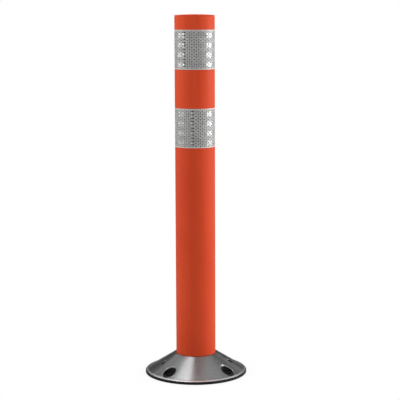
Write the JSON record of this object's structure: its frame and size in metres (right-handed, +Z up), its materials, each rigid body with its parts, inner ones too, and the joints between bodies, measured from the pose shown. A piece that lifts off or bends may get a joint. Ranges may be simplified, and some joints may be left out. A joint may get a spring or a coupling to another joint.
{
  "type": "delineator post",
  "caption": "Flexible tubular road delineator post with reflective bands, on a round bolt-down base with a conical aluminium cover.",
  "frame": {"origin": "centre of the base on the ground, under the pad", "axes": "+Z up along the post; the front of the picture is -Y; +X is to the right of it, and the anchor holes lie on the diagonals"},
  "size_m": [0.2032, 0.2032, 0.715],
  "materials": {
    "orange_plastic": "smooth safety-orange polyurethane, satin",
    "reflective_sheeting": "silver-white prismatic retroreflective sheeting",
    "turned_aluminium": "lathe-turned bare aluminium",
    "black_rubber": "matt black butyl rubber",
    "black_plastic": "moulded black plastic",
    "black_steel": "black-coated steel",
    "zinc_steel": "zinc-plated steel"
  },
  "bodies": {
    "base": {"ground_pad": "black_rubber", "base_plate": "black_steel", "base_core": "black_plastic", "base_cover": "turned_aluminium", "foot_plug": "black_plastic", "plug_bolt": "zinc_steel", "tube_foot": "orange_plastic", "anchor_washer_1": "black_steel", "anchor_washer_2": "black_steel", "anchor_washer_3": "black_steel", "anchor_washer_4": "black_steel", "cover_screw_1": "black_steel", "cover_screw_2": "black_steel", "plate_screw_1": "zinc_steel", "plate_screw_2": "zinc_steel", "plate_screw_3": "zinc_steel", "plate_screw_4": "zinc_steel"},
    "post": {"tube_flex_zone": "orange_plastic", "tube_upper": "orange_plastic", "top_cap": "orange_plastic", "band_upper": "reflective_sheeting", "band_lower": "reflective_sheeting"}
  },
  "joints": [
    {"name": "post_bend", "type": "hinge", "parent": "base", "child": "post", "pos_m": [0, 0, 0.045], "axis": [0, 1, 0], "range_deg": [-90, 90], "stiffness_Nm_per_rad": 80, "deforming": ["tube_flex_zone"]}
  ]
}
